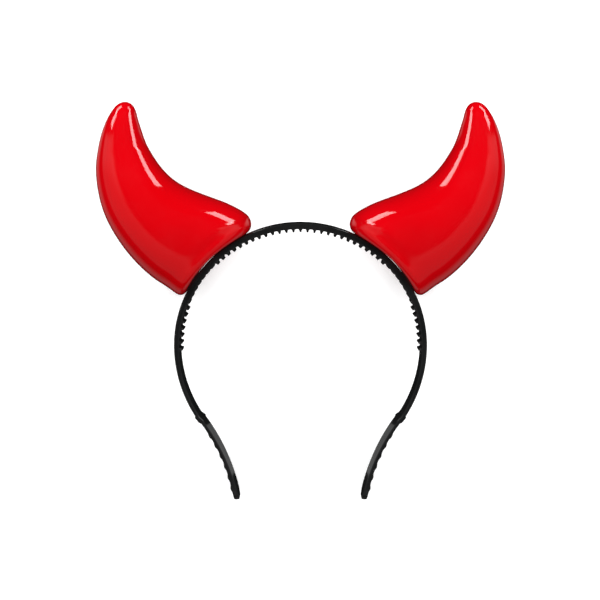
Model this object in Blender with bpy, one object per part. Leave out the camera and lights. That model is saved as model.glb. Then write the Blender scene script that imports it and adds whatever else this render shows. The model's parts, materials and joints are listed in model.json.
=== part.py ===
"""Devil horns headband, at rest on its back, in metres with +Z up.

Everything is drawn flat first: x runs across the band, y from the leg tips up to the crown, and z from the
back of the band to its front. The drawing is then tipped about x until the leg tips and the backs of the
horns touch the ground together, as the headband lies by itself.
"""

import math
from collections import namedtuple

import bmesh
import bpy
from mathutils import Vector

# Band, as the line of its outer face
BAND_HALF_WIDTH = 0.0631
BAND_RISE = 0.0616
CROWN_TURN = math.radians(50)
LEG_RADIUS = 0.0663
LEG_TURN = math.radians(36.3)
GRIP_RADIUS = 0.0865
GRIP_LENGTH = 0.0444

# Band, across its strip
BAND_DEPTH = 0.014
CROWN_THICKNESS = 0.0031
LEG_THICKNESS = 0.00165
THINNING = 2.5
OUTER_EDGE = 0.0008
INNER_EDGE = 0.0003
MOST_OUTER_EDGE = 0.4
MOST_INNER_EDGE = 0.2

# Comb teeth, counted from the crown down one side
TOOTH_PITCH = 0.0037
TOOTH_HEIGHT = 0.00145
TOOTH_ROOT = 0.0018
TOOTH_TIP = 0.0005
TOOTH_DEPTH = 0.0112
LOW_TOOTH_HEIGHT = 0.0004
CROWN_TEETH = 13
LOW_TEETH = 7
TEMPLE_TEETH = 7
SEAT_PAD = 0.0005

# Knuckle where the leg meets the grip, and the ribbed grip
KNUCKLE_LENGTH = 0.0048
KNUCKLE_LIFT = 0.0006
KNUCKLE_SHOULDER = 0.0005
GRIP_DEPTH = 0.015
TIP_THICKNESS = 0.003
TONGUE_LENGTH = 0.0075
GRIP_STEP = 0.0004
RIB_COUNT = 6
RIB_PITCH = 0.0058
RIB_HEIGHT = 0.0003
FIRST_RIB = 0.0054

# Horns
HORN_SEAT_AT = 0.04815
HORN_SEAT_SPAN = 0.0495
HORN_REACH = 0.0572
HORN_RISE = 0.0764
HORN_DEPTH = 0.046
HORN_WALL = 0.0009
HIGH_BASE_ROUND = 0.005
LOW_BASE_ROUND = 0.003
TIP_X_SHARE = 0.742
TIP_LEAN = math.radians(34)

# Posts and fits
POST_RADIUS = 0.0025
POST_HEAD_RADIUS = 0.0045
POST_HEAD_THICKNESS = 0.0012
CLEARANCE = 0.0003

# Angles the resting tilt is looked for between, and how often that range is halved
LEAST_TILT = 0.0
MOST_TILT = math.radians(40)
TILT_HALVINGS = 60

# Fineness of the facets
HORN_SIDES = 20
POST_SIDES = 16
ROWS_BETWEEN = 2
SADDLE_STEPS = 4
SMOOTH_ANGLE = math.radians(35)
LEG_STEP = 0.0055
TONGUE_ANGLES = [math.radians(a) for a in (0, 25, 45, 60, 72, 83)]
ROUND_ANGLES = [math.radians(a) for a in (90, 60, 30, 0)]
TIP_RINGS = 2
SECTION_FULLNESS = 2.2

# One section of a horn. The outer edge is the one away from the head. Its x and y, and the inner edge's, are
# shares of HORN_REACH and HORN_RISE from the middle of the seat. Depth is a share of HORN_DEPTH, and arch is
# how much of the band's curve the section still follows.
HornSection = namedtuple("HornSection", "outer_x outer_y inner_x inner_y depth arch")
HORN_SECTIONS = [
    HornSection(0.393, -0.198, -0.295, 0.278, 0.96, 0.80),
    HornSection(0.478, -0.156, -0.208, 0.320, 0.98, 0.55),
    HornSection(0.654, -0.041, -0.031, 0.377, 1.00, 0.25),
    HornSection(0.820, 0.118, 0.167, 0.433, 0.93, 0.10),
    HornSection(0.930, 0.275, 0.324, 0.496, 0.82, 0.00),
    HornSection(0.985, 0.429, 0.437, 0.577, 0.70, 0.00),
    HornSection(1.000, 0.584, 0.514, 0.660, 0.585, 0.00),
    HornSection(0.980, 0.699, 0.569, 0.737, 0.49, 0.00),
    HornSection(0.941, 0.813, 0.611, 0.831, 0.40, 0.00),
    HornSection(0.886, 0.906, 0.640, 0.908, 0.31, 0.00),
    HornSection(0.845, 0.953, 0.657, 0.953, 0.24, 0.00),
]
BASE_DEPTH_SHARE = 0.93

# One place along the knuckle: how far along it, and its rise on the outer and inner side, all as shares.
KnucklePlace = namedtuple("KnucklePlace", "along outer inner")
KNUCKLE = [
    KnucklePlace(0.00, 0.0, 0.0),
    KnucklePlace(0.12, 1.0, 0.0),
    KnucklePlace(0.38, 0.9, 0.2),
    KnucklePlace(0.50, 0.6, 0.6),
    KnucklePlace(0.62, 0.9, 0.9),
    KnucklePlace(0.88, 0.7, 1.0),
    KnucklePlace(1.00, 0.0, 0.5),
]

# One place along a rib, towards the tip: how far along its pitch, and the share of its height there.
RibPlace = namedtuple("RibPlace", "along rise")
RIB = [RibPlace(0.0, 0.0), RibPlace(0.45, 1.0), RibPlace(0.65, 0.9), RibPlace(0.8, 0.0)]

# One place along the band's strip, by its distance from the crown along the outer face.
Station = namedtuple("Station", "at lift thickness half_depth tooth")


def band_arcs():
    """Signed radius and turn of each arc of the outer face, from the crown down one side."""
    sharpening = (BAND_HALF_WIDTH - BAND_RISE) / (math.sin(CROWN_TURN) + math.cos(CROWN_TURN) - 1)
    temple_radius = BAND_HALF_WIDTH - sharpening * math.sin(CROWN_TURN)
    return [
        (temple_radius + sharpening, CROWN_TURN),
        (temple_radius, math.pi / 2 - CROWN_TURN),
        (LEG_RADIUS, LEG_TURN),
        (-GRIP_RADIUS, GRIP_LENGTH / GRIP_RADIUS),
    ]


def band_length(arcs):
    return sum(abs(radius) * turn for radius, turn in arcs)


def on_band(at):
    """Point of the outer face and its outward direction, at a distance from the crown along one side."""
    side = -1 if at < 0 else 1
    left = abs(at)
    point = Vector((0, BAND_RISE))
    slope = 0.0
    arcs = band_arcs()
    for radius, turn in arcs:
        length = abs(radius) * turn
        last = (radius, turn) == arcs[-1]
        used = left if last else min(left, length)
        new_slope = slope + used / radius
        point += radius * Vector((math.sin(new_slope) - math.sin(slope), math.cos(new_slope) - math.cos(slope)))
        slope = new_slope
        left -= used
        if left <= 0:
            break
    return Vector((side * point.x, point.y)), Vector((side * math.sin(slope), math.cos(slope)))


def seat_point(at, height, z):
    """Point above the band's outer face."""
    point, outward = on_band(at)
    flat = point + outward * height
    return Vector((flat.x, flat.y, z))


def leg_station(at, leg_end, pad=0, tooth=0):
    """The strip between the crown and the knuckle, which thins on the way, most of it near the knuckle."""
    thickness = CROWN_THICKNESS + (LEG_THICKNESS - CROWN_THICKNESS) * (at / leg_end) ** THINNING
    return Station(at, 0, thickness + pad, BAND_DEPTH / 2, tooth)


def tooth_stations(leg_end):
    """The toothed stretch of one side. Under the horn the strip is padded and its teeth are low bumps."""
    stations = []
    last_low = CROWN_TEETH + LOW_TEETH
    for tooth in range(last_low + TEMPLE_TEETH + 1):
        low = CROWN_TEETH < tooth <= last_low
        height = LOW_TOOTH_HEIGHT if low else TOOTH_HEIGHT
        pad = SEAT_PAD if low else 0
        profile = [(-TOOTH_ROOT / 2, 0), (-TOOTH_TIP / 2, height), (TOOTH_TIP / 2, height), (TOOTH_ROOT / 2, 0)]
        if low:
            profile = [(-TOOTH_ROOT / 2, 0), (0, height), (TOOTH_ROOT / 2, 0)]
        places = [(tooth * TOOTH_PITCH + offset, rise) for offset, rise in profile]
        stations += [leg_station(at, leg_end, pad, rise) for at, rise in places if at > 0]
    return stations


def leg_stations(start, leg_end):
    """The plain stretch below the teeth, down to the knuckle."""
    stop = leg_end - KNUCKLE_LENGTH
    steps = max(1, math.ceil((stop - start) / LEG_STEP))
    return [leg_station(start + (stop - start) * step / steps, leg_end) for step in range(1, steps)]


def knuckle_stations(leg_end):
    """The strip swells to both sides, and comes out as deep as the grip."""
    stations = []
    for place in KNUCKLE:
        at = leg_end - KNUCKLE_LENGTH * (1 - place.along)
        step = GRIP_STEP * max(0, 2 * place.along - 1)
        lift = KNUCKLE_LIFT * place.outer - step
        shoulder = KNUCKLE_SHOULDER * place.inner + step
        half_depth = (BAND_DEPTH + (GRIP_DEPTH - BAND_DEPTH) * place.along) / 2
        plain = leg_station(at, leg_end)
        stations.append(Station(at, lift, plain.thickness + lift + shoulder, half_depth, 0))
    return stations


def grip_station(at, leg_end, grip_end, rise=0):
    """The grip thickens towards its tip, which is round from the front and a tongue from the side."""
    along = (at - leg_end) / GRIP_LENGTH
    thickness = LEG_THICKNESS + (TIP_THICKNESS - LEG_THICKNESS) * along**3
    to_tip = grip_end - at
    rounded = min(1, to_tip / (thickness / 2))
    end_share = math.sqrt(1 - (1 - rounded) ** 2)
    narrowed = max(0, 1 - to_tip / TONGUE_LENGTH)
    half_depth = GRIP_DEPTH / 2 * math.sqrt(1 - narrowed**2)
    drop = thickness * (1 - end_share) / 2
    return Station(at, rise - GRIP_STEP - drop, thickness * end_share + rise, half_depth, 0)


def grip_stations(leg_end, grip_end):
    """Ribs on the outer face, each with a long rise and a short drop towards the tip, then the plain tip."""
    starts = [leg_end + FIRST_RIB + rib * RIB_PITCH for rib in range(RIB_COUNT)]
    places = [(start + place.along * RIB_PITCH, RIB_HEIGHT * place.rise) for start in starts for place in RIB]
    ribbed_end = places[-1][0]
    tongue = [grip_end - TONGUE_LENGTH * (1 - math.sin(angle)) for angle in TONGUE_ANGLES]
    places += [(at, 0) for at in tongue if at > ribbed_end]
    return [grip_station(at, leg_end, grip_end, rise) for at, rise in places]


def side_stations():
    grip_end = band_length(band_arcs())
    leg_end = grip_end - GRIP_LENGTH
    teeth = tooth_stations(leg_end)
    return (
        teeth
        + leg_stations(teeth[-1].at, leg_end)
        + knuckle_stations(leg_end)
        + grip_stations(leg_end, grip_end)
    )


def strip_section(station):
    """One section of the strip, as (z, height over the outer face) pairs round it, with both edges eased."""
    half = station.half_depth
    under = -station.thickness
    outer = min(OUTER_EDGE, station.thickness * MOST_OUTER_EDGE)
    inner = min(INNER_EDGE, station.thickness * MOST_INNER_EDGE)
    tooth_half = TOOTH_DEPTH / 2 * half / (BAND_DEPTH / 2)
    return [
        (half - outer, 0),
        (-half + outer, 0),
        (-half, -outer),
        (-half, under + inner),
        (-half + inner, under),
        (-tooth_half, under - station.tooth),
        (tooth_half, under - station.tooth),
        (half - inner, under),
        (half, under + inner),
        (half, -outer),
    ]


def strip_ring(station, side):
    return [
        seat_point(side * station.at, station.lift + height, z)
        for z, height in strip_section(station)
    ]


def new_object(name, mesh_builder, material):
    """A closed mesh object whose faces point out, shaded smooth but for its sharp edges."""
    mesh = bpy.data.meshes.new(name)
    mesh_builder(mesh)
    mesh.shade_smooth()
    mesh.set_sharp_from_angle(angle=SMOOTH_ANGLE)
    mesh.materials.append(material)
    made = bpy.data.objects.new(name, mesh)
    bpy.context.scene.collection.objects.link(made)
    return made


def skin_rings(work, rings):
    """Faces between each ring of points and the next. It gives back the rings' vertices."""
    made = [[work.verts.new(point) for point in ring] for ring in rings]
    for near, far in zip(made, made[1:]):
        for side in range(len(near)):
            after = (side + 1) % len(near)
            work.faces.new((near[side], near[after], far[after], far[side]))
    return made


def close_with_point(work, ring, point):
    apex = work.verts.new(point)
    for side, vertex in enumerate(ring):
        work.faces.new((vertex, ring[(side + 1) % len(ring)], apex))


def finish_mesh(work, mesh):
    bmesh.ops.recalc_face_normals(work, faces=work.faces)
    work.to_mesh(mesh)
    work.free()


def build_band(mesh):
    """The whole strip from one leg tip over the crown to the other, teeth, knuckles and ribs included."""
    stations = side_stations()
    rings = [strip_ring(station, -1) for station in reversed(stations)]
    rings += [strip_ring(station, 1) for station in stations]
    work = bmesh.new()
    made = skin_rings(work, rings)
    work.faces.new(made[0])
    work.faces.new(made[-1])
    finish_mesh(work, mesh)


def signed_power(value, power):
    return math.copysign(abs(value) ** power, value)


def section_shares():
    """Places round a horn's section: the share along its width and the share along its depth."""
    power = 2 / SECTION_FULLNESS
    turns = [math.tau * side / HORN_SIDES for side in range(HORN_SIDES)]
    return [(signed_power(math.cos(turn), power), signed_power(math.sin(turn), power)) for turn in turns]


def base_round(across):
    """Radius of the base's rolled edge, which is smaller at the low end that points down the leg."""
    return (HIGH_BASE_ROUND + LOW_BASE_ROUND - (HIGH_BASE_ROUND - LOW_BASE_ROUND) * across) / 2


def rim_ring(side, inset, angle):
    """A ring of the horn's base, bent to the band's curve. Its first point is on the outer edge."""
    ring = []
    for across, deep in section_shares():
        radius = base_round(across) - inset
        pulled_in = inset + radius * (1 - math.cos(angle))
        height = CLEARANCE + inset + radius * (1 - math.sin(angle))
        along = across * (HORN_SEAT_SPAN / 2 - pulled_in)
        z = deep * (HORN_DEPTH * BASE_DEPTH_SHARE / 2 - pulled_in)
        ring.append(seat_point(side * (HORN_SEAT_AT + along), height, z))
    return ring


def rim_rings(side, inset):
    """The rolled edge of the base, from the saddle face up to the full section."""
    return [rim_ring(side, inset, angle) for angle in ROUND_ANGLES]


def saddle_rings(side, inset):
    """Rings laid on the saddle, from the post's round hole out to the rolled edge."""
    hole_radius = POST_RADIUS + CLEARANCE
    turns = [math.tau * k / HORN_SIDES for k in range(HORN_SIDES)]
    rings = []
    for step in range(SADDLE_STEPS):
        share = step / SADDLE_STEPS
        ring = []
        for turn, (across, deep) in zip(turns, section_shares()):
            far_along = across * (HORN_SEAT_SPAN / 2 - base_round(across))
            far_z = deep * (HORN_DEPTH * BASE_DEPTH_SHARE / 2 - base_round(across))
            along = far_along * share + hole_radius * math.cos(turn) * (1 - share)
            z = far_z * share + hole_radius * math.sin(turn) * (1 - share)
            ring.append(seat_point(side * (HORN_SEAT_AT + along), CLEARANCE + inset, z))
        rings.append(ring)
    return rings


def free_section(side, section, inset):
    """A ring of the horn above its base, from its outer edge to its inner one."""
    seat = seat_point(HORN_SEAT_AT, 0, 0)
    outer = seat + Vector((HORN_REACH * section.outer_x, HORN_RISE * section.outer_y, 0))
    inner = seat + Vector((HORN_REACH * section.inner_x, HORN_RISE * section.inner_y, 0))
    middle = (outer + inner) / 2
    half = (outer - inner) / 2
    half_width = half.length
    along = half.normalized()
    upward = Vector((-along.y, along.x, 0))
    bend_radius = BAND_HALF_WIDTH + HIGH_BASE_ROUND
    rise = bend_radius - math.sqrt(max(0, bend_radius**2 - min(half_width, bend_radius) ** 2))
    half_width -= inset
    half_depth = HORN_DEPTH * section.depth / 2 - inset
    ring = []
    for across, deep in section_shares():
        point = middle + along * across * half_width + upward * section.arch * rise * (1 - across**2)
        ring.append(Vector((side * point.x, point.y, deep * half_depth)))
    return ring


def between(before, start, end, after, share):
    """Catmull-Rom curve through four points, between the middle two."""
    return 0.5 * (
        2 * start
        + (end - before) * share
        + (2 * before - 5 * start + 4 * end - after) * share**2
        + (3 * start - before - 3 * end + after) * share**3
    )


def smooth_rings(rings, lead_in, lead_out, count):
    """The rings with count - 1 more between each two, on smooth curves from base to tip."""
    known = [lead_in] + rings + [lead_out]
    smooth = [rings[0]]
    for place in range(1, len(known) - 2):
        four = known[place - 1 : place + 3]
        for step in range(1, count + 1):
            share = step / count
            smooth.append([between(*points, share) for points in zip(*four)])
    return smooth


def tip_point(side, inset):
    seat = seat_point(HORN_SEAT_AT, 0, 0)
    tip = seat + Vector((HORN_REACH * TIP_X_SHARE, HORN_RISE, 0))
    return Vector((side * tip.x, tip.y - inset, 0))


def tip_rings(last, tip):
    """The round end of the horn, beyond its last section, where its sides already lean in."""
    centre = sum(last, Vector()) / len(last)
    rings = []
    for ring in range(1, TIP_RINGS + 1):
        angle = TIP_LEAN + (math.pi / 2 - TIP_LEAN) * ring / (TIP_RINGS + 1)
        along = (math.sin(angle) - math.sin(TIP_LEAN)) / (1 - math.sin(TIP_LEAN))
        narrowed = math.cos(angle) / math.cos(TIP_LEAN)
        moved = centre + (tip - centre) * along
        rings.append([moved + (point - centre) * narrowed for point in last])
    return rings


def horn_skin(side, inset, count):
    """Rings of the outer skin, or of the hollow where inset is the wall, from the post's hole to the tip."""
    rim = rim_rings(side, inset)
    free = [free_section(side, section, inset) for section in HORN_SECTIONS]
    tip = tip_point(side, inset)
    dome = tip_rings(free[-1], tip)
    body = smooth_rings([rim[-1]] + free, rim[-2], dome[0], count)
    return saddle_rings(side, inset) + rim[:-1] + body + dome, tip


def build_horn(mesh, side):
    """A hollow horn: the outer skin and the hollow's skin, joined round the post's hole."""
    work = bmesh.new()
    outside, outer_tip = horn_skin(side, 0, ROWS_BETWEEN)
    inside, inner_tip = horn_skin(side, HORN_WALL, 1)
    made = skin_rings(work, list(reversed(inside)) + outside)
    close_with_point(work, made[0], inner_tip)
    close_with_point(work, made[-1], outer_tip)
    finish_mesh(work, mesh)


def build_post(mesh, side):
    """A turned post: its shank stands on the band and its head holds the horn's base from inside."""
    foot = CLEARANCE
    neck = CLEARANCE + HORN_WALL + CLEARANCE
    top = neck + POST_HEAD_THICKNESS
    profile = [(POST_RADIUS, foot), (POST_RADIUS, neck), (POST_HEAD_RADIUS, neck), (POST_HEAD_RADIUS, top)]
    centre, outward = on_band(side * HORN_SEAT_AT)
    up = Vector((outward.x, outward.y, 0))
    across = Vector((outward.y, -outward.x, 0))
    deep = Vector((0, 0, 1))
    start = Vector((centre.x, centre.y, 0))
    turns = [math.tau * k / POST_SIDES for k in range(POST_SIDES)]
    rings = [
        [start + up * height + (across * math.cos(turn) + deep * math.sin(turn)) * radius for turn in turns]
        for radius, height in profile
    ]
    work = bmesh.new()
    made = skin_rings(work, rings)
    work.faces.new(made[0])
    work.faces.new(made[-1])
    finish_mesh(work, mesh)


def new_material(name, colour, roughness, coat=0.0):
    made = bpy.data.materials.new(name)
    made.use_nodes = True
    shader = made.node_tree.nodes["Principled BSDF"]
    shader.inputs["Base Color"].default_value = (*colour, 1)
    shader.inputs["Roughness"].default_value = roughness
    shader.inputs["Metallic"].default_value = 0
    shader.inputs["Coat Weight"].default_value = coat
    made.diffuse_color = (*colour, 1)
    return made


def lowest(points, tilt):
    return min(point.y * math.sin(tilt) + point.z * math.cos(tilt) for point in points)


def rest_tilt(band_points, horn_points):
    """Angle about x at which the band's legs and the horns' backs come down to one level."""
    flat, steep = LEAST_TILT, MOST_TILT
    for _ in range(TILT_HALVINGS):
        middle = (flat + steep) / 2
        if lowest(horn_points, middle) < lowest(band_points, middle):
            flat = middle
        else:
            steep = middle
    return (flat + steep) / 2


def lay_down(band, horns, everything):
    """Tips all of it onto its back, with its lowest points at z = 0 and its middle over the origin."""
    band_points = [vertex.co for vertex in band.data.vertices]
    horn_points = [vertex.co for horn in horns for vertex in horn.data.vertices]
    tilt = rest_tilt(band_points, horn_points)
    every_point = band_points + horn_points
    tipped_y = [point.y * math.cos(tilt) - point.z * math.sin(tilt) for point in every_point]
    rest = bpy.data.objects.new("rest", None)
    bpy.context.scene.collection.objects.link(rest)
    rest.rotation_euler.x = tilt
    rest.location = (0, -(min(tipped_y) + max(tipped_y)) / 2, -lowest(every_point, tilt))
    for piece in everything:
        piece.parent = rest


def main():
    for old in list(bpy.data.objects):
        bpy.data.objects.remove(old)
    black = new_material("band_black", (0.018, 0.018, 0.02), 0.38)
    red = new_material("horn_red", (0.73, 0.002, 0.008), 0.12, coat=1.0)
    post_grey = new_material("post_grey", (0.05, 0.05, 0.055), 0.5)
    band = new_object("headband", build_band, black)
    horns = []
    posts = []
    for side_name, side in (("left", -1), ("right", 1)):
        horns.append(new_object("horn_" + side_name, lambda mesh, side=side: build_horn(mesh, side), red))
        posts.append(
            new_object("horn_post_" + side_name, lambda mesh, side=side: build_post(mesh, side), post_grey)
        )
    lay_down(band, horns, [band] + horns + posts)


main()
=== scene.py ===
"""Looks of the devil horns headband: fine surfaces, finishes, floor, light and camera.

The band and the horns are drawn flat, as the solids are: x runs across the band, y from the leg tips up to
the crown, and z from the back of the band to its front. Each piece is then tipped onto its back by the
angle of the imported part's rear edge.
"""

import json
import math
from collections import namedtuple

import bmesh
import bpy
import numpy as np
from mathutils import Matrix, Vector


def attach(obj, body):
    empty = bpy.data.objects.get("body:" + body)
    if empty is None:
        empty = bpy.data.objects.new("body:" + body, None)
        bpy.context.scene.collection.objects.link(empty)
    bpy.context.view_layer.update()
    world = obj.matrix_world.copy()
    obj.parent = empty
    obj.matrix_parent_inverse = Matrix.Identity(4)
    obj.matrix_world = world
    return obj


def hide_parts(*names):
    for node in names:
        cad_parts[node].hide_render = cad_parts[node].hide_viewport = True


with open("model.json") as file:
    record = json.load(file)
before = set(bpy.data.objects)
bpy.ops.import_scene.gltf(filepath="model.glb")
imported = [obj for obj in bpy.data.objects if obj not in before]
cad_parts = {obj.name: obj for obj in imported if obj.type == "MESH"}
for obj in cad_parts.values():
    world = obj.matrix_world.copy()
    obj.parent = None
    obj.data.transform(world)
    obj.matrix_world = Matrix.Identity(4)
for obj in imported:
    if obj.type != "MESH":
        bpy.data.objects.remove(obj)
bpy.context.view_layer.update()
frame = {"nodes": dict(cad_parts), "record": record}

# Band, as the line of its outer face
BAND_HALF_WIDTH = 0.0631
BAND_RISE = 0.0616
CROWN_TURN = math.radians(50)
LEG_RADIUS = 0.0663
LEG_TURN = math.radians(36.3)
GRIP_RADIUS = 0.0865
GRIP_LENGTH = 0.0444

# Band, across its strip. INNER_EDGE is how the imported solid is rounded, and INNER_ROUND how the fine strip is.
BAND_DEPTH = 0.014
CROWN_THICKNESS = 0.0031
LEG_THICKNESS = 0.00165
THINNING = 2.5
OUTER_EDGE = 0.0008
INNER_EDGE = 0.0003
INNER_ROUND = 0.0007
MOST_EDGE_SHARE = 0.4
EDGE_STEPS = 4
FACE_STEPS = 4

# Comb teeth, counted from the crown down one side, with hollowed flanks
TOOTH_PITCH = 0.0037
TOOTH_HEIGHT = 0.0016
TOOTH_FOOT = 0.0028
TOOTH_TIP = 0.0009
TOOTH_HOLLOW = 3
TOOTH_DEPTH = 0.0112
TOOTH_END = 0.0012
TOOTH_END_STEPS = 4
LOW_TOOTH_HEIGHT = 0.0004
CROWN_TEETH = 13
LOW_TEETH = 7
TEMPLE_TEETH = 7
SEAT_PAD = 0.0005
PAD_BLEND = 0.0012

# Knuckle where the leg meets the grip, and the ribbed grip
KNUCKLE_LENGTH = 0.0048
KNUCKLE_LIFT = 0.0006
KNUCKLE_SHOULDER = 0.0005
GRIP_DEPTH = 0.015
TIP_THICKNESS = 0.003
TIP_SWELLING = 3
TONGUE_LENGTH = 0.0075
GRIP_STEP = 0.0004
RIB_COUNT = 6
RIB_PITCH = 0.0058
RIB_HEIGHT = 0.0005
FIRST_RIB = 0.0054
RIB_LENGTH_SHARE = 0.8
RIB_CREST_SHARE = 0.55

# Fineness of the band, along it
STEPS_PER_TOOTH = 16
PLAIN_STEP = 0.0011
RIBBED_STEP = 0.0004
TONGUE_STEPS = 24

# Horns
HORN_SEAT_AT = 0.04815
HORN_SEAT_SPAN = 0.0495
HORN_REACH = 0.0572
HORN_RISE = 0.0764
HORN_DEPTH = 0.046
HORN_WALL = 0.0009
HIGH_BASE_ROUND = 0.005
LOW_BASE_ROUND = 0.003
TIP_X_SHARE = 0.742
TIP_LEAN = math.radians(34)
BASE_DEPTH_SHARE = 0.93
SECTION_FULLNESS = 2.2
POST_HOLE_RADIUS = 0.0028
CLEARANCE = 0.0003

# Fineness of the horns, and the welded seam that runs round each in its middle plane
QUARTER_SIDES = 20
SEAM_DEPTH = 0.00012
SEAM_HALF_WIDTH = 0.00025
SEAM_OFFSETS = [0.0, 0.00012, 0.00025, 0.0005]
ROWS_PER_SECTION = 9
ROUND_STEPS = 12
HOLLOW_ROWS = 2
HOLLOW_ROUND_STEPS = 3
SADDLE_STEPS = 6
TIP_RINGS = 2

# One section of a horn. The outer edge is the one away from the head. Its x and y, and the inner edge's, are
# shares of HORN_REACH and HORN_RISE from the middle of the seat. Depth is a share of HORN_DEPTH, and arch is
# how much of the band's curve the section still follows.
HornSection = namedtuple("HornSection", "outer_x outer_y inner_x inner_y depth arch")
HORN_SECTIONS = [
    HornSection(0.393, -0.198, -0.295, 0.278, 0.96, 0.80),
    HornSection(0.478, -0.156, -0.208, 0.320, 0.98, 0.55),
    HornSection(0.654, -0.041, -0.031, 0.377, 1.00, 0.25),
    HornSection(0.820, 0.118, 0.167, 0.433, 0.93, 0.10),
    HornSection(0.930, 0.275, 0.324, 0.496, 0.82, 0.00),
    HornSection(0.985, 0.429, 0.437, 0.577, 0.70, 0.00),
    HornSection(1.000, 0.584, 0.514, 0.660, 0.585, 0.00),
    HornSection(0.980, 0.699, 0.569, 0.737, 0.49, 0.00),
    HornSection(0.941, 0.813, 0.611, 0.831, 0.40, 0.00),
    HornSection(0.886, 0.906, 0.640, 0.908, 0.31, 0.00),
    HornSection(0.845, 0.953, 0.657, 0.953, 0.24, 0.00),
]

# One place along the knuckle: how far along it, and its rise on the outer and inner side, all as shares.
KnucklePlace = namedtuple("KnucklePlace", "along outer inner")
KNUCKLE = [
    KnucklePlace(0.00, 0.0, 0.0),
    KnucklePlace(0.12, 1.0, 0.0),
    KnucklePlace(0.38, 0.9, 0.2),
    KnucklePlace(0.50, 0.6, 0.6),
    KnucklePlace(0.62, 0.9, 0.9),
    KnucklePlace(0.88, 0.7, 1.0),
    KnucklePlace(1.00, 0.0, 0.5),
]

# Camera straight over the part, with the leg tips towards the viewer's feet
CAMERA_HEIGHT = 0.6
CAMERA_X = -0.00025
CAMERA_Y = 0.00225
CAMERA_LENS = 69.55
SENSOR_WIDTH = 36

# Numbers of the sockets that a Mix node has for colours
MIX_FACTOR = 0
MIX_FIRST_COLOUR = 6
MIX_SECOND_COLOUR = 7
MIX_COLOUR = 2

# Finishes. Scales are in repeats a metre, colours are linear, and two roughnesses are the least and the most.
PATTERN_LOW = 0.3
PATTERN_HIGH = 0.7
PLASTIC_IOR = 1.46
RED_DEEP = (0.45, 0.0002, 0.002)
RED_LIGHT = (0.52, 0.0005, 0.0036)
RED_CLOUDS = 14
RED_ROUGHNESS = (0.05, 0.09)
SCUFF_CLOUDS = 90
RIPPLES = 160
RIPPLE_STRENGTH = 0.1
RIPPLE_HEIGHT = 0.0001
BLACK_DEEP = (0.0045, 0.0047, 0.0048)
BLACK_LIGHT = (0.0085, 0.0087, 0.0089)
BLACK_CLOUDS = 60
BLACK_ROUGHNESS = (0.16, 0.26)
WEAR_CLOUDS = 120
GRAIN = 1600
GRAIN_STRENGTH = 0.15
GRAIN_HEIGHT = 0.00004
POST_DEEP = (0.04, 0.04, 0.045)
POST_LIGHT = (0.06, 0.06, 0.065)
POST_ROUGHNESS = 0.5

# Floor
FLOOR_SIZE = 2
FLOOR_DROP = 0.0001
FLOOR_COLOUR = (0.93, 0.93, 0.93)
FLOOR_GLOW = 0.2

# Sky: the share of its full light at some shares of a direction of length one, first along z, then along y
SKY_BRIGHT = 0.66
SKY_DIM = 0.01
BACKDROP = 1.0
SkyStop = namedtuple("SkyStop", "share level")
SKY_BY_Z = [
    SkyStop(-0.85, 0.0),
    SkyStop(-0.72, 1.0),
    SkyStop(-0.50, 1.0),
    SkyStop(-0.28, 0.0),
    SkyStop(0.02, 0.0),
    SkyStop(0.10, 1.0),
    SkyStop(0.76, 1.0),
    SkyStop(0.82, 0.0),
]
SKY_BY_Y = [SkyStop(-0.60, 0.37), SkyStop(0.10, 0.45), SkyStop(0.35, 1.0), SkyStop(0.40, 0.0)]

# Softboxes, the last of them lying on the floor between the grips, seen only in their gloss
PART_MIDDLE = (0, 0.03, 0.02)
SoftLight = namedtuple("SoftLight", "name shape place facing size power in_reflections")
SOFT_LIGHTS = [
    SoftLight("overhead", "RECTANGLE", (0, 0, 1.3), PART_MIDDLE, (2.6, 2.6), 44, False),
    SoftLight("high_right", "RECTANGLE", (0.627, 0.556, 0.393), PART_MIDDLE, (0.22, 0.3), 2.1, True),
    SoftLight("high_left", "RECTANGLE", (-0.627, 0.556, 0.393), PART_MIDDLE, (0.22, 0.3), 2.1, True),
    SoftLight("low_right", "RECTANGLE", (0.475, 0.762, 0.238), PART_MIDDLE, (0.38, 0.26), 2.8, True),
    SoftLight("low_left", "RECTANGLE", (-0.475, 0.762, 0.238), PART_MIDDLE, (0.38, 0.26), 2.8, True),
    SoftLight("floor_glow", "ELLIPSE", (0, -0.07, 0.0002), (0, -0.07, 1), (0.1, 0.044), 0.0022, True),
]


def band_arcs():
    """Signed radius and turn of each arc of the outer face, from the crown down one side."""
    sharpening = (BAND_HALF_WIDTH - BAND_RISE) / (math.sin(CROWN_TURN) + math.cos(CROWN_TURN) - 1)
    temple_radius = BAND_HALF_WIDTH - sharpening * math.sin(CROWN_TURN)
    return [
        (temple_radius + sharpening, CROWN_TURN),
        (temple_radius, math.pi / 2 - CROWN_TURN),
        (LEG_RADIUS, LEG_TURN),
        (-GRIP_RADIUS, GRIP_LENGTH / GRIP_RADIUS),
    ]


ARCS = band_arcs()
GRIP_END = sum(abs(radius) * turn for radius, turn in ARCS)
LEG_END = GRIP_END - GRIP_LENGTH


def on_band(at):
    """Points of the outer face and their outward directions, at distances from the crown, one side negative."""
    at = np.asarray(at, float)
    side = np.where(at < 0, -1.0, 1.0)
    left = np.abs(at)
    x = np.zeros_like(left)
    y = np.full_like(left, BAND_RISE)
    slope = np.zeros_like(left)
    for number, (radius, turn) in enumerate(ARCS):
        length = abs(radius) * turn
        used = left if number == len(ARCS) - 1 else np.minimum(left, length)
        new_slope = slope + used / radius
        x += radius * (np.sin(new_slope) - np.sin(slope))
        y += radius * (np.cos(new_slope) - np.cos(slope))
        slope = new_slope
        left = left - used
    return np.stack([side * x, y], -1), np.stack([side * np.sin(slope), np.cos(slope)], -1)


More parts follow.
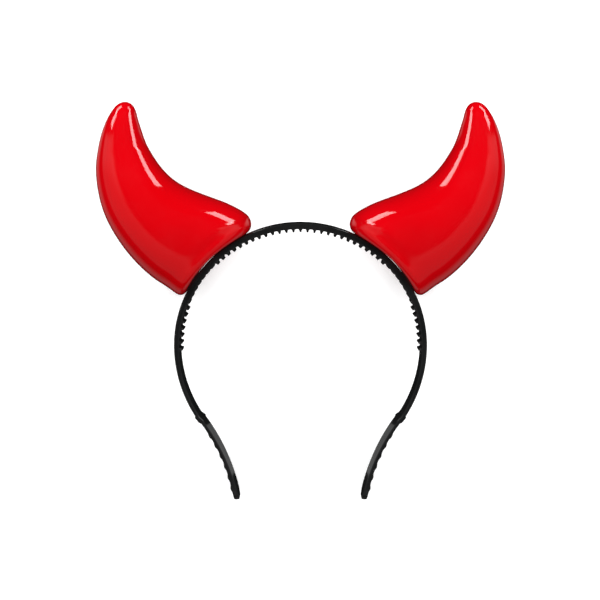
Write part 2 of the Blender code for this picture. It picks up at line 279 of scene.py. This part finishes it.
def seat_points(at, height, z):
    """Points above the band's outer face."""
    point, outward = on_band(at)
    flat = point + outward * np.asarray(height)[..., None]
    return np.concatenate([flat, np.broadcast_to(np.asarray(z, float)[..., None], flat.shape[:-1] + (1,))], -1)


def rest_matrix():
    """From the flat drawing to the part at rest, by the place and direction of the band's rear edge."""
    edge = frame["record"]["mounts"][0]
    tilt = math.atan2(edge["axis"][1], -edge["axis"][2])
    turn = Matrix.Rotation(tilt, 4, "X")
    half_strip = (OUTER_EDGE + CROWN_THICKNESS - INNER_EDGE) / 2
    drawn = Vector((0, BAND_RISE - half_strip, -BAND_DEPTH / 2))
    return Matrix.Translation(Vector(edge["pos_m"]) - turn @ drawn) @ turn


def rings_mesh(name, rings, ends=(None, None)):
    """A closed mesh skinned over rings of points. Each end closes on its point, or flat where it has none."""
    work = bmesh.new()
    made = [[work.verts.new(point) for point in ring] for ring in rings]
    for near, far in zip(made, made[1:]):
        for side in range(len(near)):
            after = (side + 1) % len(near)
            work.faces.new((near[side], near[after], far[after], far[side]))
    for ring, point in zip((made[0], made[-1]), ends):
        if point is None:
            work.faces.new(ring)
            continue
        apex = work.verts.new(point)
        for side, vertex in enumerate(ring):
            work.faces.new((vertex, ring[(side + 1) % len(ring)], apex))
    bmesh.ops.recalc_face_normals(work, faces=work.faces)
    mesh = bpy.data.meshes.new(name)
    work.to_mesh(mesh)
    work.free()
    mesh.transform(rest_matrix())
    mesh.shade_smooth()
    return mesh


def new_piece(name, mesh, material, node):
    """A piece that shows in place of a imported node."""
    mesh.materials.append(material)
    piece = bpy.data.objects.new(name, mesh)
    bpy.context.scene.collection.objects.link(piece)
    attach(piece, "root")
    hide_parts(node)
    return piece


def smooth_step(share):
    """A share eased at both ends."""
    share = np.clip(share, 0, 1)
    return share * share * (3 - 2 * share)


def tooth_rise(at):
    """Height of the comb and thickness of the seat's padding, at distances from the crown."""
    at = np.abs(at)
    last = CROWN_TEETH + LOW_TEETH + TEMPLE_TEETH
    number = np.clip(np.round(at / TOOTH_PITCH), 0, last)
    low = (number > CROWN_TEETH) & (number <= CROWN_TEETH + LOW_TEETH)
    off = np.abs(at - number * TOOTH_PITCH)
    flank = np.clip((TOOTH_FOOT / 2 - off) / (TOOTH_FOOT / 2 - TOOTH_TIP / 2), 0, 1)
    rise = np.where(low, LOW_TOOTH_HEIGHT * smooth_step(flank), TOOTH_HEIGHT * flank**TOOTH_HOLLOW)
    pad_start = (CROWN_TEETH + 0.5) * TOOTH_PITCH
    pad_stop = (CROWN_TEETH + LOW_TEETH + 0.5) * TOOTH_PITCH
    pad = smooth_step((at - pad_start) / PAD_BLEND + 0.5) * smooth_step((pad_stop - at) / PAD_BLEND + 0.5)
    return rise, SEAT_PAD * pad


def rib_rise(at):
    """Height of the grip's ribs, each with a long rise and a short drop towards the tip."""
    along = (at - LEG_END - FIRST_RIB) / RIB_PITCH
    share = (along - np.floor(along)) / RIB_LENGTH_SHARE
    up = smooth_step(share / RIB_CREST_SHARE)
    down = smooth_step((1 - share) / (1 - RIB_CREST_SHARE))
    return np.where((along >= 0) & (along < RIB_COUNT), RIB_HEIGHT * up * down, 0)


def band_stops():
    """Distances from the crown where the fine strip has a section, down one side."""
    toothed = (CROWN_TEETH + LOW_TEETH + TEMPLE_TEETH + 0.5) * TOOTH_PITCH
    knuckle = LEG_END - KNUCKLE_LENGTH
    tongue = GRIP_END - TONGUE_LENGTH
    turns = np.linspace(0, math.pi / 2, TONGUE_STEPS + 1)[1:]
    spans = [
        np.arange(0, toothed, TOOTH_PITCH / STEPS_PER_TOOTH),
        np.arange(toothed, knuckle, PLAIN_STEP),
        np.arange(knuckle, tongue, RIBBED_STEP),
        tongue + TONGUE_LENGTH * np.sin(turns[:-1]),
    ]
    return np.concatenate(spans)


def band_sections(at):
    """Lift, thickness, half depth and tooth height of the strip at distances from the crown down one side."""
    tooth, pad = tooth_rise(at)
    thinned = (LEG_THICKNESS - CROWN_THICKNESS) * (np.minimum(at, LEG_END) / LEG_END) ** THINNING
    thickness = CROWN_THICKNESS + thinned + pad
    places = np.array(KNUCKLE)
    along = np.clip((at - LEG_END) / KNUCKLE_LENGTH + 1, 0, 1)
    step = GRIP_STEP * np.clip(2 * along - 1, 0, 1)
    in_knuckle = (along > 0) & (at < LEG_END)
    lift = np.where(in_knuckle, KNUCKLE_LIFT * np.interp(along, places[:, 0], places[:, 1]), 0)
    shoulder = np.where(in_knuckle, KNUCKLE_SHOULDER * np.interp(along, places[:, 0], places[:, 2]), 0)
    half_depth = (BAND_DEPTH + (GRIP_DEPTH - BAND_DEPTH) * along) / 2

    on_grip = np.clip((at - LEG_END) / GRIP_LENGTH, 0, 1)
    thickness += (TIP_THICKNESS - LEG_THICKNESS) * on_grip**TIP_SWELLING
    to_tip = GRIP_END - at
    rounded = np.clip(to_tip / (thickness / 2), 0, 1)
    end_share = np.sqrt(1 - (1 - rounded) ** 2)
    narrowed = np.clip(1 - to_tip / TONGUE_LENGTH, 0, 1)
    half_depth = half_depth * np.sqrt(1 - narrowed**2)
    drop = thickness * (1 - end_share) / 2
    rib = rib_rise(at)
    base = -step - drop
    top = base + lift + rib
    under = base - thickness * end_share - shoulder
    return top, under, half_depth, tooth


def strip_outlines(top, under, half_depth, tooth):
    """Columns of z and of height, one for each point round the strip, with its edges rounded."""
    least = np.minimum(top - under, half_depth)
    outer = np.minimum(OUTER_EDGE, MOST_EDGE_SHARE * least)
    inner = np.minimum(INNER_ROUND, MOST_EDGE_SHARE * least)
    tooth_half = TOOTH_DEPTH / 2 * half_depth / (BAND_DEPTH / 2)
    quarter = np.linspace(0, math.pi / 2, EDGE_STEPS + 1)
    columns = [((half_depth - outer) * share, top) for share in np.linspace(1, -1, FACE_STEPS + 1)]
    for turn in quarter[1:]:
        columns.append((-(half_depth - outer + outer * math.sin(turn)), top - outer * (1 - math.cos(turn))))
    for turn in quarter:
        columns.append((-(half_depth - inner + inner * math.cos(turn)), under + inner * (1 - math.sin(turn))))
    for side in (-1, 1):
        shares = np.linspace(0, 1, TOOTH_END_STEPS + 1)[::-side]
        for share in shares:
            z = side * (tooth_half - TOOTH_END * share)
            columns.append((z, under - tooth * smooth_step(share)))
    for turn in quarter[::-1]:
        columns.append((half_depth - inner + inner * math.cos(turn), under + inner * (1 - math.sin(turn))))
    for turn in quarter[:0:-1]:
        columns.append((half_depth - outer + outer * math.sin(turn), top - outer * (1 - math.cos(turn))))
    z = np.stack([column[0] for column in columns], -1)
    height = np.stack([column[1] for column in columns], -1)
    return z, height


def band_mesh():
    """The fine strip, from one leg tip over the crown to the other."""
    at = band_stops()
    z, height = strip_outlines(*band_sections(at))
    halves = []
    for side in (-1, 1):
        points = seat_points(side * np.broadcast_to(at[:, None], z.shape), height, z)
        halves.append(points[::-1] if side < 0 else points[1:])
    return rings_mesh("headband_strip", np.concatenate(halves))


def section_shares(half_depth):
    """Places round a horn's section, as shares of its width and depth, and how much each lies in the seam."""
    turns = np.linspace(0, math.pi / 2, QUARTER_SIDES + 1)[1:]
    seam = np.array(SEAM_OFFSETS)
    seam_deep = seam / half_depth
    seam_across = (1 - seam_deep**SECTION_FULLNESS) ** (1 / SECTION_FULLNESS)
    across = np.concatenate([seam_across, np.abs(np.cos(turns)) ** (2 / SECTION_FULLNESS)])
    across[-1] = 0
    deep = np.concatenate([seam_deep, np.sin(turns) ** (2 / SECTION_FULLNESS)])
    groove = np.concatenate([1 - smooth_step(seam / SEAM_HALF_WIDTH), np.zeros(QUARTER_SIDES)])
    across = np.concatenate([across, -across[-2::-1]])
    deep = np.concatenate([deep, deep[-2::-1]])
    groove = np.concatenate([groove, groove[-2::-1]])
    return (
        np.concatenate([across, across[-2:0:-1]]),
        np.concatenate([deep, -deep[-2:0:-1]]),
        np.concatenate([groove, groove[-2:0:-1]]),
    )


def base_round(across):
    """Radius of the base's rolled edge, which is smaller at the low end that points down the leg."""
    return (HIGH_BASE_ROUND + LOW_BASE_ROUND - (HIGH_BASE_ROUND - LOW_BASE_ROUND) * across) / 2


def rim_ring(side, inset, turn, seam):
    """A ring of the horn's base, bent to the band's curve. Its first point is on the outer edge."""
    across, deep, groove = section_shares(HORN_DEPTH * BASE_DEPTH_SHARE / 2 - inset)
    radius = base_round(across) - inset
    pulled_in = inset + radius * (1 - math.sin(turn))
    height = CLEARANCE + inset + radius * (1 - math.cos(turn))
    along = across * (HORN_SEAT_SPAN / 2 - pulled_in - seam * groove)
    z = deep * (HORN_DEPTH * BASE_DEPTH_SHARE / 2 - pulled_in)
    return seat_points(side * (HORN_SEAT_AT + along), height, z)


def rim_rings(side, inset, steps, seam):
    """The rolled edge of the base, from the saddle face up to the full section."""
    return [rim_ring(side, inset, turn, seam) for turn in np.linspace(0, math.pi / 2, steps + 1)]


def saddle_rings(side, inset):
    """Rings laid on the saddle, from the post's round hole out to the rolled edge."""
    across, deep, _ = section_shares(HORN_DEPTH * BASE_DEPTH_SHARE / 2 - inset)
    far_along = across * (HORN_SEAT_SPAN / 2 - base_round(across))
    far_z = deep * (HORN_DEPTH * BASE_DEPTH_SHARE / 2 - base_round(across))
    turns = np.arctan2(deep, across)
    rings = []
    for step in range(SADDLE_STEPS):
        share = step / SADDLE_STEPS
        along = far_along * share + POST_HOLE_RADIUS * np.cos(turns) * (1 - share)
        z = far_z * share + POST_HOLE_RADIUS * np.sin(turns) * (1 - share)
        height = np.full_like(along, CLEARANCE + inset)
        rings.append(seat_points(side * (HORN_SEAT_AT + along), height, z))
    return rings


def free_section(side, section, inset, seam):
    """A ring of the horn above its base, from its outer edge to its inner one."""
    seat = on_band(HORN_SEAT_AT)[0]
    outer = seat + (HORN_REACH * section.outer_x, HORN_RISE * section.outer_y)
    inner = seat + (HORN_REACH * section.inner_x, HORN_RISE * section.inner_y)
    middle = (outer + inner) / 2
    half_width = np.linalg.norm(outer - inner) / 2
    along = (outer - middle) / half_width
    upward = np.array([-along[1], along[0]])
    bend_radius = BAND_HALF_WIDTH + HIGH_BASE_ROUND
    rise = bend_radius - math.sqrt(bend_radius**2 - half_width**2)
    half_depth = HORN_DEPTH * section.depth / 2 - inset
    across, deep, groove = section_shares(half_depth)
    reach = across * (half_width - inset - seam * groove)
    flat = middle + np.outer(reach, along) + np.outer(section.arch * rise * (1 - across**2), upward)
    return np.stack([side * flat[:, 0], flat[:, 1], deep * half_depth], -1)


def spline_rings(rings, start_slope, stop_slope, steps):
    """The rings with smooth ones between them: a cubic spline from base to tip, with its end slopes given."""
    rings = np.array(rings)
    gaps = np.linalg.norm(np.diff(rings, axis=0), axis=-1).mean(-1)
    count = len(rings)
    matrix = np.eye(count)
    wanted = np.zeros_like(rings)
    wanted[0], wanted[-1] = start_slope, stop_slope
    for row in range(1, count - 1):
        before, after = gaps[row - 1], gaps[row]
        matrix[row, row - 1 : row + 2] = 1 / before, 2 / before + 2 / after, 1 / after
        rise = (rings[row] - rings[row - 1]) / before**2 + (rings[row + 1] - rings[row]) / after**2
        wanted[row] = 3 * rise
    slopes = np.linalg.solve(matrix, wanted.reshape(count, -1)).reshape(wanted.shape)
    smooth = [rings[0]]
    for row, gap in enumerate(gaps):
        for step in range(1, steps + 1):
            share = step / steps
            stay = (1 + 2 * share) * (1 - share) ** 2
            leave = share * (1 - share) ** 2 * gap
            arrive = share**2 * (share - 1) * gap
            smooth.append(
                stay * rings[row] + (1 - stay) * rings[row + 1] + leave * slopes[row] + arrive * slopes[row + 1]
            )
    return smooth


def horn_skin(side, inset, steps, round_steps, seam):
    """Rings of the outer skin, or of the hollow where inset is the wall, and the tip's point."""
    rim = rim_rings(side, inset, round_steps, seam)
    free = [free_section(side, section, inset, seam) for section in HORN_SECTIONS]
    tip = np.append(on_band(HORN_SEAT_AT)[0] + (HORN_REACH * TIP_X_SHARE, HORN_RISE - inset), 0)
    tip[0] *= side
    centre = free[-1].mean(0)
    across = section_shares(HORN_DEPTH * BASE_DEPTH_SHARE / 2 - inset)[0]
    outward = on_band(side * (HORN_SEAT_AT + across * (HORN_SEAT_SPAN / 2 - inset)))[1]
    base_slope = np.column_stack([outward, np.zeros(len(outward))])
    radial = free[-1] - centre
    tip_slope = -radial / np.linalg.norm(radial, axis=-1, keepdims=True)
    dome = []
    for turn in np.linspace(TIP_LEAN, math.pi / 2, TIP_RINGS + 2)[1:-1]:
        along = (math.sin(turn) - math.sin(TIP_LEAN)) / (1 - math.sin(TIP_LEAN))
        dome.append(centre + (tip - centre) * along + radial * math.cos(turn) / math.cos(TIP_LEAN))
    point_ring = np.broadcast_to(tip, radial.shape)
    body = spline_rings([rim[-1]] + free + dome + [point_ring], base_slope, tip_slope, steps)
    return saddle_rings(side, inset) + rim[:-1] + body[:-1], tip


def horn_mesh(side_name, side):
    """A hollow horn: the outer skin and the hollow's skin, joined round the post's hole."""
    outside, outer_tip = horn_skin(side, 0, ROWS_PER_SECTION, ROUND_STEPS, SEAM_DEPTH)
    inside, inner_tip = horn_skin(side, HORN_WALL, HOLLOW_ROWS, HOLLOW_ROUND_STEPS, 0)
    return rings_mesh(f"horn_{side_name}_shell", inside[::-1] + outside, (inner_tip, outer_tip))


def shader_tree(name):
    """A new material with its principled shader and object coordinates."""
    made = bpy.data.materials.new(name)
    made.use_nodes = True
    nodes = made.node_tree.nodes
    place = nodes.new("ShaderNodeTexCoord")
    return made, nodes["Principled BSDF"], place.outputs["Object"]


def noise(tree, place, scale, detail):
    """A cloud pattern of the given fineness, in repeats a metre."""
    made = tree.nodes.new("ShaderNodeTexNoise")
    made.inputs["Scale"].default_value = scale
    made.inputs["Detail"].default_value = detail
    tree.links.new(place, made.inputs["Vector"])
    return made.outputs["Fac"]


def spread(tree, pattern, low, high):
    """A pattern stretched to run from one value to another."""
    made = tree.nodes.new("ShaderNodeMapRange")
    made.inputs["From Min"].default_value = PATTERN_LOW
    made.inputs["From Max"].default_value = PATTERN_HIGH
    made.inputs["To Min"].default_value = low
    made.inputs["To Max"].default_value = high
    tree.links.new(pattern, made.inputs["Value"])
    return made.outputs["Result"]


def two_tone(tree, pattern, dark, light):
    """Two colours blended by a pattern."""
    made = tree.nodes.new("ShaderNodeMix")
    made.data_type = "RGBA"
    made.inputs[MIX_FIRST_COLOUR].default_value = (*dark, 1)
    made.inputs[MIX_SECOND_COLOUR].default_value = (*light, 1)
    tree.links.new(spread(tree, pattern, 0, 1), made.inputs[MIX_FACTOR])
    return made.outputs[MIX_COLOUR]


def bump(tree, shader, pattern, strength, distance):
    """A pattern raised in the shader's normal, by up to the distance."""
    made = tree.nodes.new("ShaderNodeBump")
    made.inputs["Strength"].default_value = strength
    made.inputs["Distance"].default_value = distance
    tree.links.new(pattern, made.inputs["Height"])
    tree.links.new(made.outputs["Normal"], shader.inputs["Normal"])


def glossy_red():
    """Thin moulded plastic in clear red, a little uneven in tone, with the faintest ripple in its gloss."""
    made, shader, place = shader_tree("glossy_red")
    tree = made.node_tree
    tone = two_tone(tree, noise(tree, place, RED_CLOUDS, detail=2), RED_DEEP, RED_LIGHT)
    tree.links.new(tone, shader.inputs["Base Color"])
    gloss = spread(tree, noise(tree, place, SCUFF_CLOUDS, detail=5), *RED_ROUGHNESS)
    tree.links.new(gloss, shader.inputs["Roughness"])
    shader.inputs["IOR"].default_value = PLASTIC_IOR
    bump(tree, shader, noise(tree, place, RIPPLES, detail=1), RIPPLE_STRENGTH, RIPPLE_HEIGHT)
    return made


def satin_black():
    """Moulded plastic with a fine grain, worn a little smoother in patches."""
    made, shader, place = shader_tree("satin_black")
    tree = made.node_tree
    tone = two_tone(tree, noise(tree, place, BLACK_CLOUDS, detail=4), BLACK_DEEP, BLACK_LIGHT)
    tree.links.new(tone, shader.inputs["Base Color"])
    gloss = spread(tree, noise(tree, place, WEAR_CLOUDS, detail=6), *BLACK_ROUGHNESS)
    tree.links.new(gloss, shader.inputs["Roughness"])
    shader.inputs["IOR"].default_value = PLASTIC_IOR
    bump(tree, shader, noise(tree, place, GRAIN, detail=2), GRAIN_STRENGTH, GRAIN_HEIGHT)
    return made


def plain_grey():
    """The hidden posts' plastic."""
    made, shader, place = shader_tree("plain_grey")
    tree = made.node_tree
    tone = two_tone(tree, noise(tree, place, BLACK_CLOUDS, detail=4), POST_DEEP, POST_LIGHT)
    tree.links.new(tone, shader.inputs["Base Color"])
    shader.inputs["Roughness"].default_value = POST_ROUGHNESS
    return made


def make_floor():
    """A pale matt floor just under the part. The part doesn't mirror it or take light from it."""
    mesh = bpy.data.meshes.new("floor")
    half = FLOOR_SIZE / 2
    corners = [(-half, -half), (half, -half), (half, half), (-half, half)]
    mesh.from_pydata([(x, y, -FLOOR_DROP) for x, y in corners], [], [(0, 1, 2, 3)])
    floor = bpy.data.objects.new("floor", mesh)
    bpy.context.scene.collection.objects.link(floor)
    pale = bpy.data.materials.new("pale_floor")
    pale.use_nodes = True
    shader = pale.node_tree.nodes["Principled BSDF"]
    shader.inputs["Base Color"].default_value = (*FLOOR_COLOUR, 1)
    shader.inputs["Roughness"].default_value = 1
    shader.inputs["Specular IOR Level"].default_value = 0
    shader.inputs["Emission Color"].default_value = (1, 1, 1, 1)
    shader.inputs["Emission Strength"].default_value = FLOOR_GLOW
    mesh.materials.append(pale)
    floor.visible_glossy = False
    floor.visible_diffuse = False


def soft_light(name, shape, place, facing, size, power, in_reflections):
    """A softbox at a place, facing another place."""
    light = bpy.data.lights.new(name, "AREA")
    light.shape = shape
    light.size, light.size_y = size
    light.energy = power
    made = bpy.data.objects.new(name, light)
    bpy.context.scene.collection.objects.link(made)
    made.location = place
    made.rotation_euler = (Vector(facing) - Vector(place)).to_track_quat("-Z", "Y").to_euler()
    made.visible_glossy = in_reflections
    made.visible_camera = False


def sky_level(tree, share, stops):
    """Brightness of the sky by one share of the direction, blended between its stops."""
    along = tree.nodes.new("ShaderNodeMapRange")
    along.inputs["From Min"].default_value = -1
    tree.links.new(share, along.inputs["Value"])
    ramp = tree.nodes.new("ShaderNodeValToRGB")
    tree.links.new(along.outputs["Result"], ramp.inputs["Fac"])
    marks = ramp.color_ramp.elements
    while len(marks) < len(stops):
        marks.new(1)
    for mark, stop in zip(marks, stops):
        mark.position = (stop.share + 1) / 2
        mark.color = (stop.level, stop.level, stop.level, 1)
    return ramp.outputs["Color"]


def maths(tree, operation, first, second):
    """A maths node on two values, each a number or a socket."""
    made = tree.nodes.new("ShaderNodeMath")
    made.operation = operation
    for value, socket in zip((first, second), made.inputs):
        if isinstance(value, (int, float)):
            socket.default_value = value
        else:
            tree.links.new(value, socket)
    return made.outputs["Value"]


def make_world():
    """Bright belts round the part, for the gloss to mirror. The camera sees a plain pale backdrop instead."""
    world = bpy.data.worlds.new("studio")
    world.use_nodes = True
    tree = world.node_tree
    place = tree.nodes.new("ShaderNodeTexCoord")
    split = tree.nodes.new("ShaderNodeSeparateXYZ")
    tree.links.new(place.outputs["Generated"], split.inputs["Vector"])
    by_z = sky_level(tree, split.outputs["Z"], SKY_BY_Z)
    by_y = sky_level(tree, split.outputs["Y"], SKY_BY_Y)
    level = maths(tree, "MULTIPLY", maths(tree, "MULTIPLY", by_z, by_y), SKY_BRIGHT)
    plain = tree.nodes.new("ShaderNodeMix")
    plain.inputs["B"].default_value = BACKDROP
    tree.links.new(tree.nodes.new("ShaderNodeLightPath").outputs["Is Camera Ray"], plain.inputs["Factor"])
    tree.links.new(maths(tree, "ADD", level, SKY_DIM), plain.inputs["A"])
    background = tree.nodes["Background"]
    background.inputs["Color"].default_value = (1, 1, 1, 1)
    tree.links.new(plain.outputs["Result"], background.inputs["Strength"])
    bpy.context.scene.world = world


def make_camera():
    """The camera looks straight down, as a new camera does."""
    lens = bpy.data.cameras.new("camera")
    lens.lens = CAMERA_LENS
    lens.sensor_width = SENSOR_WIDTH
    camera = bpy.data.objects.new("camera", lens)
    bpy.context.scene.collection.objects.link(camera)
    camera.location = (CAMERA_X, CAMERA_Y, CAMERA_HEIGHT)
    bpy.context.scene.camera = camera


make_camera()
make_world()
make_floor()
for light in SOFT_LIGHTS:
    soft_light(*light)
new_piece("headband_strip", band_mesh(), satin_black(), "headband")
red = glossy_red()
for side_name, side in (("left", -1), ("right", 1)):
    mesh = horn_mesh(side_name, side)
    new_piece(f"horn_{side_name}_shell", mesh, red, f"horn_{side_name}")
grey = plain_grey()
for side_name in ("left", "right"):
    post = frame["nodes"][f"horn_post_{side_name}"]
    post.data.materials.clear()
    post.data.materials.append(grey)
bpy.context.scene.view_settings.view_transform = "Standard"
